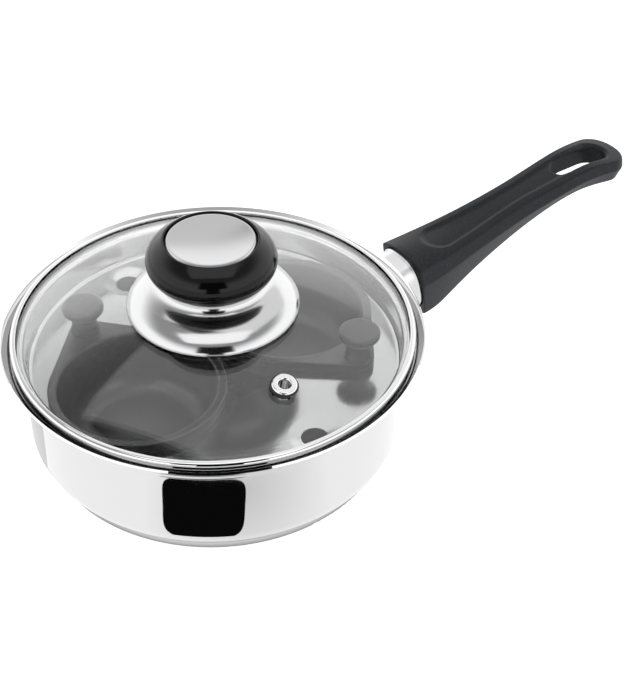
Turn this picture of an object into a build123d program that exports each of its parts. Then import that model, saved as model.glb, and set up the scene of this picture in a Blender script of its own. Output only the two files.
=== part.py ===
from build123d import *
import math
import os

# Two-cup egg poacher pan, in millimetres.
# The origin is on the pan's axis, in the plane that it stands on. +Z is up, +X runs along the handle.

# Pan
wall_radius = 79.2            # outside of the straight wall
sheet = 0.8                   # gauge of the steel in the pan and the tray
wall_top = 48.0               # underside of the ledge that carries the tray and the lid
bottom_round = 8.0            # outside radius between floor and wall
ledge_width = 5.6             # how far the ledge steps out of the wall
ledge_rise = 2.8              # upright part over the ledge
lip_run = 2.2                 # flared lip, outwards
lip_rise = 2.6                # flared lip, upwards
lip_edge_run = 0.55           # bevel of the lip's edge
lip_edge_rise = 0.7
ledge_round = 1.4
ledge_root_round = 2.4
lip_round = 1.0

# Encapsulated base
cap_sheet = 0.6
cap_radius = 74.2
cap_round = 1.0
cap_rim = 3.7                 # height of the cap's upturned edge
base_height = 4.0             # standing plane to the underside of the pan's floor
core_clearance = 0.4

# Clearances and the overrun of cuts
fit = 0.3                     # between a curved piece and its neighbour
tray_clearance = 0.4
lid_clearance = 0.8
overrun = 5.0

# Tray
tray_depth = 11.3             # plate below the flange that hangs on the ledge
tray_turn = 4.6               # degrees from the handle to the line of the cups
tray_bend = 2.0
tray_flange_round = 2.0
steam_hole_radius = 5.5
steam_dish_radius = 10.6
steam_dish_depth = 1.4
steam_margin = 0.5            # from the dish to the bend of the plate
steam_turns = (90.0, -90.0)   # degrees from the line of the cups

# Egg cups
cup_mouth_radius = 32.1
cup_wall = 1.8
cup_flange_radius = 35.8
cup_flange = 4.5
cup_depth = 25.2              # rim to floor, inside
cup_floor_radius = 27.8       # where the side would meet the floor without its round
cup_floor_round = 8.5
cup_rim_round = 1.5
cup_edge_round = 0.7
cup_margin = 0.5              # from the flange to the bend of the plate
cup_hole_clearance = 0.6
lug_distance = 42.6           # cup axis to knob axis
lug_radius = 6.6
cup_places = (180.0, 0.0)     # degrees from the line of the cups to each cup
lug_turns = (86.0, -86.4)     # degrees from the line of the cups to each lug

# Finger knobs on the cups and their screws
pin_height = 12.9
pin_foot_radius = 6.0
pin_foot = 3.6                # height of the tapered foot
pin_waist_radius = 5.2
pin_waist = 8.4               # height of the waist's upper end
pin_head_radius = 8.6
pin_head = 3.2
pin_head_round = 1.7
pin_neck_round = 3.0
cup_screw_radius = 1.9
cup_screw_head_radius = 3.4
cup_screw_head = 1.8
cup_screw_sink = 0.4          # head above the underside of the flange
cup_screw_length = 10.5
cup_screw_slot = 0.9
cup_screw_slot_depth = 0.7
screw_end_gap = 0.6           # between a screw's end and the end of its bore

# Lid
band_width = 2.5              # visible width of the steel band
band_seat_width = 4.0         # lower flange of the band, under the glass
band_sheet = 0.6
band_round = 0.9
glass_thickness = 3.2
glass_edge_gap = 0.6
dome_rise = 13.5              # from the band's inner edge to the crown
glass_hole_radius = 4.2

# Steam vent in the glass
vent_distance = 55.3
vent_turn = -93.5             # degrees from the handle
vent_hole_radius = 3.4
vent_bore_radius = 2.3
vent_wall = 0.5
vent_flange_radius = 5.1
vent_flange = 1.3
vent_flange_round = 0.9
vent_foot_radius = 4.3
vent_foot = 0.5
vent_gasket_radius = 5.7
vent_gasket = 0.4

# Lid knob
skirt_radius = 35.3
skirt_sheet = 0.7
skirt_gap = 0.9               # edge of the skirt above the glass
skirt_edge = 2.4              # height of the rolled edge
skirt_edge_inset = 0.3
skirt_edge_round = 1.6
skirt_ridge_inset = 5.7       # edge of the skirt to its ridge
skirt_ridge_rise = 1.0        # ridge above the rolled edge
skirt_ridge_round = 1.8
skirt_root_rise = 5.0         # root of the neck above the rolled edge
skirt_root_inset = 14.0       # edge of the skirt to the root of its flared neck
skirt_neck_radius = 18.0      # neck under the knob
skirt_sweep_round = 8.5
skirt_height = 12.4
knob_radius = 26.3
knob_height = 18.5
knob_outline_shares = ((0.72, 0.0), (0.94, 0.24), (1.0, 0.47), (0.955, 0.72), (0.74, 1.0))
knob_base_height = 3.9        # lower moulding, up to the parting line
knob_base_bore = 3.0
knob_recess_radius = 18.7
knob_recess = 3.0
knob_cap_gap = 0.4            # between the steel cap and the recess
knob_cap_height = 2.8
knob_cap_bevel = 0.7
knob_cap_land = 0.6           # flat ring inside the bevel
knob_cap_dish = 1.7
knob_gasket_inset = 1.9       # edge of the skirt to the black ring under it
knob_gasket_width = 2.4
knob_gasket_height = 1.5
insert_radius = 4.5
insert_height = 9.0
insert_base = 1.6             # insert above the parting line
lid_screw_radius = 2.1
lid_screw_head_radius = 4.6
lid_screw_head = 2.8
lid_screw_head_round = 1.0
lid_screw_reach = 7.0         # into the insert
lid_screw_slot = 1.1
lid_screw_slot_depth = 1.2
washer_radius = 8.0
washer_height = 1.0

# Handle
handle_tilt = 12.9            # degrees, rise of the handle's axis
handle_run = 22.8             # pan wall to the grip's near face, along X
handle_height = 33.8          # the axis at that face
guard_width = 24.6
guard_height = 28.4
guard_lift = 1.8              # middle of the guard above the axis
guard_round = 11.2
guard_sheet = 0.9
grip_length = 128.0           # near face to tip, along X
grip_half_width = 15.0
grip_low = 19.0               # height of the lowest corner
grip_rise = 44.0              # lowest corner to the crest
grip_crown = 4.4
grip_tip_half_width = 13.7
grip_tip_round = 11.2
# Place along the grip; half widths of top, crease and underside; their heights; crown; half width of the dish
grip_shares = (
    (-0.078, 0.960, 0.970, 0.79, 0.620, 0.420, 0.000, 1.10, 0.56),
    (0.078, 0.880, 0.960, 0.73, 0.660, 0.475, 0.030, 0.55, 0.56),
    (0.218, 0.780, 0.870, 0.64, 0.715, 0.560, 0.195, 0.24, 0.55),
    (0.360, 0.690, 0.790, 0.55, 0.785, 0.640, 0.360, 0.18, 0.46),
    (0.500, 0.650, 0.745, 0.51, 0.860, 0.720, 0.505, 0.18, 0.41),
    (0.640, 0.700, 0.780, 0.56, 0.925, 0.800, 0.645, 0.18, 0.46),
    (0.790, 0.760, 0.830, 0.63, 0.985, 0.865, 0.715, 0.18, 0.56),
    (0.937, 0.860, 0.915, 0.74, 0.956, 0.855, 0.690, 0.18, 0.60),
    (1.066, 0.890, 0.940, 0.77, 0.915, 0.815, 0.660, 0.18, 0.60),
)
dish_start = 11.3             # near face to the thumb dish
dish_setback = 1.7            # tip of the grip to the end of the dish
dish_width = 17.4
dish_depth = 1.3
dish_edge_depth = 0.3
slot_setback = 24.4           # tip of the grip to the middle of the hang slot
slot_length = 32.0
slot_width = 12.4
pocket_length = 42.0
pocket_width = 17.0
pocket_ceiling = 52.4         # height of the ceiling of the pocket under the slot
bracket_width = 16.6
bracket_height = 16.0
bracket_sheet = 1.6
boss_radius = 5.0
boss_reach = 12.0             # into the grip
boss_bore = 24.0
bolt_radius = 2.0
bolt_setback = 7.4            # hang slot to the seat of the bolt's head, along the axis
bolt_head_radius = 3.6
bolt_head = 3.0
bolt_head_clearance = 0.4
bolt_socket_radius = 1.8
bolt_socket = 1.6

# Places that follow from the pan
inner_radius = wall_radius - sheet
floor_top = base_height + sheet
ledge_top = wall_top + sheet
ledge_radius = wall_radius + ledge_width
seat_radius = ledge_radius - sheet
lip_root = wall_top + ledge_rise
rim_radius = ledge_radius + lip_run
pan_height = lip_root + lip_rise + lip_edge_rise

# Places that follow from the tray
tray_radius = inner_radius - tray_clearance
tray_inner_radius = tray_radius - sheet
tray_flange_radius = seat_radius - lid_clearance
tray_top = ledge_top + sheet
plate_top = ledge_top - tray_depth
plate_foot = plate_top - sheet
plate_flat_radius = tray_inner_radius - tray_bend
steam_distance = plate_flat_radius - steam_margin - steam_dish_radius
cup_distance = plate_flat_radius - cup_margin - cup_flange_radius
cup_body_radius = cup_mouth_radius + cup_wall
cup_rim = plate_top + cup_flange
cup_floor = cup_rim - cup_depth
cup_foot = cup_floor - cup_wall


def drop(radius, ball_radius):
    """Drop of a ball's surface from its crown at a distance from the axis."""
    return ball_radius - math.sqrt(ball_radius**2 - radius**2)


# Places that follow from the lid
band_radius = seat_radius - lid_clearance
band_inner_radius = band_radius - band_width
band_seat_radius = band_radius - band_seat_width
glass_radius = band_radius - band_sheet - glass_edge_gap
dome_radius = (band_inner_radius**2 + dome_rise**2) / (2 * dome_rise)
glass_foot = tray_top + band_sheet + fit
dome_top = glass_foot + glass_thickness + drop(glass_radius, dome_radius)
band_top = dome_top - dome_rise + fit + band_sheet
skirt_ridge_radius = skirt_radius - skirt_ridge_inset
skirt_root_radius = skirt_radius - skirt_root_inset
skirt_foot = dome_top - drop(skirt_radius, dome_radius) + skirt_gap
skirt_roll = skirt_foot + skirt_edge
skirt_ridge = skirt_roll + skirt_ridge_rise
skirt_root = skirt_roll + skirt_root_rise
knob_foot = skirt_foot + skirt_height
knob_parting = knob_foot + knob_base_height
knob_top = knob_foot + knob_height
recess_floor = knob_top - knob_recess
insert_foot = knob_parting + insert_base
washer_top = dome_top - glass_thickness - fit
washer_foot = washer_top - washer_height
lid_screw_end = insert_foot + lid_screw_reach


def side_plane(origin, turn=0.0, lean=0.0):
    """Upright section plane: local Y is the axis, leaned out in degrees from +Z towards the turn."""
    leant = Plane(origin=origin).rotated((0, lean, 0)) if lean else Plane(origin=origin)
    turned = Plane(
        origin=origin,
        x_dir=Vector(*leant.x_dir).rotate(Axis.Z, turn),
        z_dir=Vector(*leant.z_dir).rotate(Axis.Z, turn),
    )
    return Plane(origin=origin, x_dir=turned.x_dir, z_dir=-turned.y_dir)


def outline(points, rounds=(), plane=Plane.XZ):
    """Closed outline in a section plane, with chosen corners rounded."""
    with BuildSketch(plane) as face:
        with BuildLine():
            Polyline(*points, close=True)
        make_face()
        for x, z, radius in rounds:
            fillet(face.vertices().sort_by_distance((x, z))[0], radius=radius)
    return face.sketch


def finish(piece, name):
    """Label a piece and write it under its name."""
    piece.part.label = name
    export_step(piece.part, f"parts/{name}.step")


os.makedirs("parts", exist_ok=True)

# Pan: floor, wall, ledge and flared lip from one sheet
with BuildPart() as pan_body:
    revolve(
        outline(
            [
                (0, base_height),
                (wall_radius, base_height),
                (wall_radius, wall_top),
                (ledge_radius, wall_top),
                (ledge_radius, lip_root),
                (rim_radius, lip_root + lip_rise),
                (rim_radius - lip_edge_run, pan_height),
                (seat_radius, lip_root + sheet / 2),
                (seat_radius, ledge_top),
                (inner_radius, ledge_top),
                (inner_radius, floor_top),
                (0, floor_top),
            ],
            [
                (wall_radius, base_height, bottom_round),
                (inner_radius, floor_top, bottom_round - sheet),
                (wall_radius, wall_top, ledge_root_round - sheet),
                (inner_radius, ledge_top, ledge_root_round),
                (ledge_radius, wall_top, ledge_round),
                (seat_radius, ledge_top, ledge_round - sheet),
                (ledge_radius, lip_root, lip_round),
                (seat_radius, lip_root + sheet / 2, lip_round),
            ],
        ),
        axis=Axis.Z,
    )
finish(pan_body, "pan_body")

# Steel cap of the encapsulated base
cap_inner_radius = cap_radius - cap_sheet
with BuildPart() as base_cap:
    revolve(
        outline(
            [
                (0, 0),
                (cap_radius, 0),
                (cap_radius, cap_rim),
                (cap_inner_radius, cap_rim),
                (cap_inner_radius, cap_sheet),
                (0, cap_sheet),
            ],
            [
                (cap_radius, 0, cap_round),
                (cap_inner_radius, cap_sheet, cap_round - cap_sheet),
            ],
        ),
        axis=Axis.Z,
    )
finish(base_cap, "base_cap")

# Aluminium disc between the cap and the floor
with BuildPart() as base_core:
    with BuildSketch(Plane.XY.offset(cap_sheet)):
        Circle(cap_inner_radius - core_clearance)
    extrude(amount=base_height - cap_sheet)
finish(base_core, "base_core")

# Near face of the grip: local Y runs up the face and local Z along the handle's axis
tilt = math.radians(handle_tilt)
handle_end = wall_radius + handle_run
handle_plane = Plane(
    origin=(handle_end, 0, handle_height),
    x_dir=(0, 1, 0),
    z_dir=(math.cos(tilt), 0, math.sin(tilt)),
)
axis_run = handle_run / math.cos(tilt)
guard_back = axis_run + guard_width / 2

# Bracket: a plate on the wall with a tapped boss on the handle's axis
bracket_inner_radius = wall_radius + fit
bracket_outer_radius = bracket_inner_radius + bracket_sheet
bracket_foot = handle_height - handle_run * math.tan(tilt) - bracket_height / 2
with BuildPart() as handle_bracket:
    with BuildSketch(Plane.XY.offset(bracket_foot)):
        Circle(bracket_outer_radius)
        with Locations((bracket_outer_radius, 0)):
            Rectangle(bracket_outer_radius, bracket_width, mode=Mode.INTERSECT)
    extrude(amount=bracket_height)
    with BuildSketch(handle_plane.offset(boss_reach)):
        Circle(boss_radius)
    extrude(amount=-(boss_reach + axis_run))
    with BuildSketch(Plane.XY):
        Circle(bracket_inner_radius)
    extrude(amount=pan_height, mode=Mode.SUBTRACT)
    with BuildSketch(handle_plane.offset(boss_reach)):
        Circle(bolt_radius + fit)
    extrude(amount=-boss_bore, mode=Mode.SUBTRACT)
finish(handle_bracket, "handle_bracket")

# Guard: an oval steel sleeve from the wall to the grip
with BuildPart() as handle_guard:
    with BuildSketch(handle_plane):
        with Locations((0, guard_lift)):
            RectangleRounded(guard_width, guard_height, guard_round)
            RectangleRounded(
                guard_width - 2 * guard_sheet,
                guard_height - 2 * guard_sheet,
                guard_round - guard_sheet,
                mode=Mode.SUBTRACT,
            )
    extrude(amount=-guard_back)
    with BuildSketch(Plane.XY):
        Circle(wall_radius + fit)
    extrude(amount=pan_height, mode=Mode.SUBTRACT)
finish(handle_guard, "handle_guard")

# Space over the thumb dish: a shallow trough that follows the crest of the grip
dish_length = grip_length - dish_start - dish_setback
dish_middle = handle_end + dish_start + dish_length / 2
with BuildPart() as dish:
    for along, top, crease, under, top_rise, crease_rise, under_rise, crown, half in grip_shares:
        dish_half = half * grip_half_width
        corner = grip_low + top_rise * grip_rise
        crest = corner + crown * grip_crown
        bank = corner + crown * grip_crown * (1 - (half / top) ** 2) - dish_edge_depth
        with BuildSketch(Plane.YZ.offset(handle_end + along * grip_length)):
            with BuildLine():
                Polyline(
                    (-dish_half, bank),
                    (-dish_half, crest + overrun),
                    (dish_half, crest + overrun),
                    (dish_half, bank),
                )
                ThreePointArc((dish_half, bank), (0, crest - dish_depth), (-dish_half, bank))
            make_face()
    loft()
    with BuildSketch(Plane.XY):
        with Locations((dish_middle, 0)):
            SlotOverall(dish_length, dish_width)
    extrude(amount=grip_low + grip_rise + 2 * overrun, mode=Mode.INTERSECT)

# Grip: faceted, with the thumb dish, the hang slot over its pocket, and the bores for boss and bolt
slot_middle = handle_end + grip_length - slot_setback
slot_start = (grip_length - slot_setback - slot_length / 2) / math.cos(tilt)
bolt_seat = slot_start - bolt_setback
with BuildPart() as handle_grip:
    for along, top, crease, under, top_rise, crease_rise, under_rise, crown, half in grip_shares:
        corner = grip_low + top_rise * grip_rise
        top_half = top * grip_half_width
        with BuildSketch(Plane.YZ.offset(handle_end + along * grip_length)):
            with BuildLine():
                Polyline(
                    (-top_half, corner),
                    (-crease * grip_half_width, grip_low + crease_rise * grip_rise),
                    (-under * grip_half_width, grip_low + under_rise * grip_rise),
                    (under * grip_half_width, grip_low + under_rise * grip_rise),
                    (crease * grip_half_width, grip_low + crease_rise * grip_rise),
                    (top_half, corner),
                )
                ThreePointArc((top_half, corner), (0, corner + crown * grip_crown), (-top_half, corner))
            make_face()
    loft()
    split(bisect_by=handle_plane, keep=Keep.TOP)
    with BuildSketch(Plane.XY) as plan:
        with Locations((wall_radius, 0)):
            Rectangle(slot_middle - wall_radius, 2 * grip_half_width + overrun, align=(Align.MIN, Align.CENTER))
        with Locations((slot_middle, 0)):
            Rectangle(slot_setback, 2 * grip_tip_half_width, align=(Align.MIN, Align.CENTER))
        fillet(plan.vertices().group_by(Axis.X)[-1], radius=grip_tip_round)
    extrude(amount=grip_low + grip_rise + overrun, mode=Mode.INTERSECT)
    add(dish.part, mode=Mode.SUBTRACT)
    with BuildSketch(Plane.XY):
        with Locations((slot_middle, 0)):
            SlotOverall(slot_length, slot_width)
    extrude(amount=grip_low + grip_rise + overrun, mode=Mode.SUBTRACT)
    with BuildSketch(Plane.XY):
        with Locations((slot_middle, 0)):
            SlotOverall(pocket_length, pocket_width)
    extrude(amount=pocket_ceiling, mode=Mode.SUBTRACT)
    with BuildSketch(handle_plane):
        Circle(boss_radius + fit)
    extrude(amount=boss_reach + fit, mode=Mode.SUBTRACT)
    with BuildSketch(handle_plane):
        Circle(bolt_radius + fit)
    extrude(amount=bolt_seat, mode=Mode.SUBTRACT)
    with BuildSketch(handle_plane.offset(bolt_seat)):
        Circle(bolt_head_radius + bolt_head_clearance)
    extrude(amount=slot_start - bolt_seat + slot_width / 2, mode=Mode.SUBTRACT)
finish(handle_grip, "handle_grip")

# Bolt: socket head at the slot, shank through the grip into the boss
bolt_length = bolt_seat - boss_reach + boss_bore - screw_end_gap
with BuildPart() as handle_bolt:
    with BuildSketch(handle_plane.offset(bolt_seat)):
        Circle(bolt_head_radius)
    extrude(amount=bolt_head)
    with BuildSketch(handle_plane.offset(bolt_seat)):
        Circle(bolt_radius)
    extrude(amount=-bolt_length)
    with BuildSketch(handle_plane.offset(bolt_seat + bolt_head)):
        RegularPolygon(bolt_socket_radius, 6)
    extrude(amount=-bolt_socket, mode=Mode.SUBTRACT)
finish(handle_bolt, "handle_bolt")

# Tray: a pressed plate that hangs on the ledge, with two cup holes and two steam holes in sunk dishes
cup_line = Plane.XY.rotated((0, 0, tray_turn))
with BuildPart() as poacher_tray:
    revolve(
        outline(
            [
                (0, plate_foot),
                (tray_radius, plate_foot),
                (tray_radius, ledge_top),
                (tray_flange_radius, ledge_top),
                (tray_flange_radius, tray_top),
                (tray_inner_radius, tray_top),
                (tray_inner_radius, plate_top),
                (0, plate_top),
            ],
            [
                (tray_radius, plate_foot, tray_bend + sheet),
                (tray_inner_radius, plate_top, tray_bend),
                (tray_radius, ledge_top, tray_flange_round - sheet),
                (tray_inner_radius, tray_top, tray_flange_round),
            ],
        ),
        axis=Axis.Z,
    )
    with BuildSketch(cup_line.offset(plate_top)):
        with PolarLocations(cup_distance, 2):
            Circle(cup_body_radius + cup_hole_clearance)
    extrude(amount=-2 * sheet, mode=Mode.SUBTRACT)
    for steam_turn in steam_turns:
        steam_axis = math.radians(tray_turn + steam_turn)
        steam_spot = (steam_distance * math.cos(steam_axis), steam_distance * math.sin(steam_axis), 0)
        steam_side = side_plane(steam_spot)
        revolve(
            outline(
                [
                    (0, plate_top - steam_dish_depth - sheet),
                    (steam_hole_radius, plate_top - steam_dish_depth - sheet),
                    (steam_dish_radius, plate_foot),
                    (0, plate_foot),
                ],
                plane=steam_side,
            ),
            axis=Axis(steam_spot, (0, 0, 1)),
        )
        revolve(
            outline(
                [
                    (0, plate_foot - steam_dish_depth - overrun),
                    (steam_hole_radius, plate_foot - steam_dish_depth - overrun),
                    (steam_hole_radius, plate_top - steam_dish_depth),
                    (steam_dish_radius, plate_top),
                    (0, plate_top),
                ],
                plane=steam_side,
            ),
            axis=Axis(steam_spot, (0, 0, 1)),
            mode=Mode.SUBTRACT,
        )
finish(poacher_tray, "poacher_tray")

# Egg cups with their lugs, finger knobs and screws
screw_bore_radius = cup_screw_radius + fit
screw_head_foot = plate_top + cup_screw_sink
screw_head_top = screw_head_foot + cup_screw_head
screw_end = screw_head_top + cup_screw_length
pin_top = cup_rim + pin_height
for index, (place, lug_turn) in enumerate(zip(cup_places, lug_turns), start=1):
    cup_axis = math.radians(tray_turn + place)
    lug_axis = math.radians(tray_turn + lug_turn)
    cup_x = cup_distance * math.cos(cup_axis)
    cup_y = cup_distance * math.sin(cup_axis)
    cup_plane = Plane(origin=(cup_x, cup_y, 0), x_dir=(math.cos(lug_axis), math.sin(lug_axis), 0))
    cup_side = side_plane((cup_x, cup_y, 0), tray_turn + lug_turn)
    cup_centre = Axis((cup_x, cup_y, 0), (0, 0, 1))
    pin_x = cup_x + lug_distance * math.cos(lug_axis)
    pin_y = cup_y + lug_distance * math.sin(lug_axis)
    pin_side = side_plane((pin_x, pin_y, 0), tray_turn + lug_turn)
    pin_centre = Axis((pin_x, pin_y, 0), (0, 0, 1))

    with BuildPart() as egg_cup:
        with BuildSketch(cup_plane.offset(plate_top)):
            Circle(cup_flange_radius)
            with Locations((lug_distance, 0)):
                Circle(lug_radius)
            make_hull()
        extrude(amount=cup_flange)
        fillet(egg_cup.faces().sort_by(Axis.Z)[-1].outer_wire().edges(), radius=cup_edge_round)
        revolve(
            outline(
                [
                    (0, cup_foot),
                    (cup_floor_radius + cup_wall, cup_foot),
                    (cup_body_radius, plate_top),
                    (cup_body_radius, cup_rim - cup_edge_round),
                    (0, cup_rim - cup_edge_round),
                ],
                [(cup_floor_radius + cup_wall, cup_foot, cup_floor_round + cup_wall)],
                cup_side,
            ),
            axis=cup_centre,
        )
        revolve(
            outline(
                [
                    (0, cup_floor),
                    (cup_floor_radius, cup_floor),
                    (cup_mouth_radius, cup_rim),
                    (0, cup_rim),
                ],
                [(cup_floor_radius, cup_floor, cup_floor_round)],
                cup_side,
            ),
            axis=cup_centre,
            mode=Mode.SUBTRACT,
        )
        fillet(egg_cup.faces().sort_by(Axis.Z)[-1].inner_wires()[0].edges(), radius=cup_rim_round)
        revolve(
            outline(
                [
                    (0, plate_top),
                    (cup_screw_head_radius + fit, plate_top),
                    (cup_screw_head_radius + fit, screw_head_foot),
                    (screw_bore_radius, screw_head_top),
                    (screw_bore_radius, cup_rim),
                    (0, cup_rim),
                ],
                plane=pin_side,
            ),
            axis=pin_centre,
            mode=Mode.SUBTRACT,
        )
    finish(egg_cup, f"egg_cup_{index}")

    with BuildPart() as cup_knob:
        revolve(
            outline(
                [
                    (0, screw_end + screw_end_gap),
                    (screw_bore_radius, screw_end + screw_end_gap),
                    (screw_bore_radius, cup_rim),
                    (pin_foot_radius, cup_rim),
                    (pin_waist_radius, cup_rim + pin_foot),
                    (pin_waist_radius, cup_rim + pin_waist),
                    (pin_head_radius, pin_top - pin_head),
                    (pin_head_radius, pin_top),
                    (0, pin_top),
                ],
                [
                    (pin_waist_radius, cup_rim + pin_foot, pin_neck_round),
                    (pin_waist_radius, cup_rim + pin_waist, pin_neck_round),
                    (pin_head_radius, pin_top - pin_head, pin_head_round),
                    (pin_head_radius, pin_top, pin_head_round),
                ],
                pin_side,
            ),
            axis=pin_centre,
        )
    finish(cup_knob, f"cup_knob_{index}")

    with BuildPart() as cup_screw:
        revolve(
            outline(
                [
                    (0, screw_head_foot),
                    (cup_screw_head_radius, screw_head_foot),
                    (cup_screw_radius, screw_head_top),
                    (cup_screw_radius, screw_end),
                    (0, screw_end),
                ],
                plane=pin_side,
            ),
            axis=pin_centre,
        )
        with BuildSketch(Plane(origin=(pin_x, pin_y, screw_head_foot), x_dir=cup_plane.x_dir)):
            Rectangle(2 * cup_screw_head_radius, cup_screw_slot)
        extrude(amount=cup_screw_slot_depth, mode=Mode.SUBTRACT)
    finish(cup_screw, f"cup_knob_screw_{index}")

# Lid band: a steel channel around the glass
band_inner_round = band_round - band_sheet
with BuildPart() as lid_band:
    revolve(
        outline(
            [
                (band_seat_radius, tray_top),
                (band_radius, tray_top),
                (band_radius, band_top),
                (band_inner_radius, band_top),
                (band_inner_radius, band_top - band_sheet),
                (band_radius - band_sheet, band_top - band_sheet),
                (band_radius - band_sheet, tray_top + band_sheet),
                (band_seat_radius, tray_top + band_sheet),
            ],
            [
                (band_radius, tray_top, band_round),
                (band_radius, band_top, band_round),
                (band_radius - band_sheet, band_top - band_sheet, band_inner_round),
                (band_radius - band_sheet, tray_top + band_sheet, band_inner_round),
            ],
        ),
        axis=Axis.Z,
    )
finish(lid_band, "lid_band")

# Glass: a shallow dome of even height, with a hole for the knob's screw and one for the vent
vent_axis = math.radians(vent_turn)
vent_lean = math.degrees(math.asin(vent_distance / dome_radius))
vent_spot = (
    vent_distance * math.cos(vent_axis),
    vent_distance * math.sin(vent_axis),
    dome_top - drop(vent_distance, dome_radius),
)
vent_side = side_plane(vent_spot, vent_turn, vent_lean)
vent_centre = Axis(vent_spot, vent_side.y_dir)
vent_plane = Plane(origin=vent_spot, x_dir=vent_side.x_dir, z_dir=vent_side.y_dir)
with BuildPart() as lid_glass:
    with BuildSketch(Plane.XZ):
        with Locations((0, dome_top - dome_radius)):
            Circle(dome_radius)
        with Locations((0, dome_top - dome_radius - glass_thickness)):
            Circle(dome_radius, mode=Mode.SUBTRACT)
        with Locations((glass_hole_radius, glass_foot)):
            Rectangle(
                glass_radius - glass_hole_radius,
                dome_top - glass_foot,
                align=(Align.MIN, Align.MIN),
                mode=Mode.INTERSECT,
            )
    revolve(axis=Axis.Z)
    with BuildSketch(vent_plane.offset(glass_thickness)):
        Circle(vent_hole_radius)
    extrude(amount=-3 * glass_thickness, mode=Mode.SUBTRACT)
finish(lid_glass, "lid_glass")

# Rubber ring under the vent's flange
vent_tube_radius = vent_bore_radius + vent_wall
vent_seat = fit + vent_gasket
with BuildPart() as vent_ring:
    revolve(
        outline(
            [
                (vent_tube_radius + fit, fit),
                (vent_gasket_radius, fit),
                (vent_gasket_radius, vent_seat),
                (vent_tube_radius + fit, vent_seat),
            ],
            plane=vent_side,
        ),
        axis=vent_centre,
    )
finish(vent_ring, "vent_gasket")

# Steel eyelet through the glass
vent_foot_top = -(glass_thickness + fit)
vent_top = vent_seat + vent_flange
with BuildPart() as vent_eyelet:
    revolve(
        outline(
            [
                (vent_bore_radius, vent_foot_top - vent_foot),
                (vent_foot_radius, vent_foot_top - vent_foot),
                (vent_foot_radius, vent_foot_top),
                (vent_tube_radius, vent_foot_top),
                (vent_tube_radius, vent_seat),
                (vent_flange_radius, vent_seat),
                (vent_flange_radius, vent_top),
                (vent_bore_radius, vent_top),
            ],
            [
                (vent_flange_radius, vent_top, vent_flange_round),
                (vent_bore_radius, vent_top, vent_flange_round),
            ],
            vent_side,
        ),
        axis=vent_centre,
    )
finish(vent_eyelet, "vent_eyelet")

# Black ring between the skirt and the glass
knob_gasket_radius = skirt_radius - knob_gasket_inset
gasket_inner_radius = knob_gasket_radius - knob_gasket_width
gasket_foot = dome_top - drop(knob_gasket_radius, dome_radius) + fit
gasket_inner_foot = dome_top - drop(gasket_inner_radius, dome_radius) + fit
with BuildPart() as knob_gasket:
    revolve(
        outline(
            [
                (gasket_inner_radius, gasket_inner_foot),
                (knob_gasket_radius, gasket_foot),
                (knob_gasket_radius, gasket_inner_foot + knob_gasket_height),
                (gasket_inner_radius, gasket_inner_foot + knob_gasket_height),
            ]
        ),
        axis=Axis.Z,
    )
finish(knob_gasket, "knob_gasket")

# Skirt: spun steel, from its rolled edge over a ridge and up the flared neck to the knob
skirt_bore_radius = lid_screw_radius + fit
with BuildPart() as knob_skirt:
    revolve(
        outline(
            [
                (skirt_radius - skirt_edge_inset, skirt_foot),
                (skirt_radius, skirt_roll),
                (skirt_ridge_radius, skirt_ridge),
                (skirt_root_radius, skirt_root),
                (skirt_neck_radius, knob_foot),
                (skirt_bore_radius, knob_foot),
                (skirt_bore_radius, knob_foot - skirt_sheet),
                (skirt_neck_radius - skirt_sheet, knob_foot - skirt_sheet),
                (skirt_root_radius - skirt_sheet, skirt_root - skirt_sheet),
                (skirt_ridge_radius, skirt_ridge - skirt_sheet),
                (skirt_radius - skirt_sheet, skirt_roll - skirt_sheet),
                (skirt_radius - skirt_edge_inset - skirt_sheet, skirt_foot),
            ],
            [
                (skirt_radius, skirt_roll, skirt_edge_round),
                (skirt_ridge_radius, skirt_ridge, skirt_ridge_round),
                (skirt_root_radius, skirt_root, skirt_sweep_round),
                (skirt_root_radius - skirt_sheet, skirt_root - skirt_sheet, skirt_sweep_round + skirt_sheet),
                (skirt_ridge_radius, skirt_ridge - skirt_sheet, skirt_ridge_round - skirt_sheet),
                (skirt_radius - skirt_sheet, skirt_roll - skirt_sheet, skirt_edge_round - skirt_sheet),
            ],
        ),
        axis=Axis.Z,
    )
finish(knob_skirt, "knob_skirt")

# Knob: one smooth bulb, parted into a lower moulding and a body
with BuildPart() as knob_bulb:
    with BuildSketch(Plane.XZ):
        with BuildLine():
            bulb_side = Spline(
                [(out * knob_radius, knob_foot + up * knob_height) for out, up in knob_outline_shares]
            )
            Polyline(bulb_side @ 0, (0, knob_foot), (0, knob_top), bulb_side @ 1)
        make_face()
    revolve(axis=Axis.Z)

with BuildPart() as knob_lower:
    add(knob_bulb.part)
    split(bisect_by=Plane.XY.offset(knob_parting), keep=Keep.BOTTOM)
    with BuildSketch(Plane.XY.offset(knob_foot)):
        Circle(knob_base_bore)
    extrude(amount=knob_base_height, mode=Mode.SUBTRACT)
finish(knob_lower, "knob_base")

with BuildPart() as knob_body:
    add(knob_bulb.part)
    split(bisect_by=Plane.XY.offset(knob_parting), keep=Keep.TOP)
    with BuildSketch(Plane.XY.offset(recess_floor)):
        Circle(knob_recess_radius)
    extrude(amount=knob_recess, mode=Mode.SUBTRACT)
    with BuildSketch(Plane.XY.offset(knob_parting)):
        Circle(knob_base_bore)
    extrude(amount=insert_base, mode=Mode.SUBTRACT)
    with BuildSketch(Plane.XY.offset(insert_foot)):
        Circle(insert_radius + fit)
    extrude(amount=insert_height, mode=Mode.SUBTRACT)
finish(knob_body, "knob_body")

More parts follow.
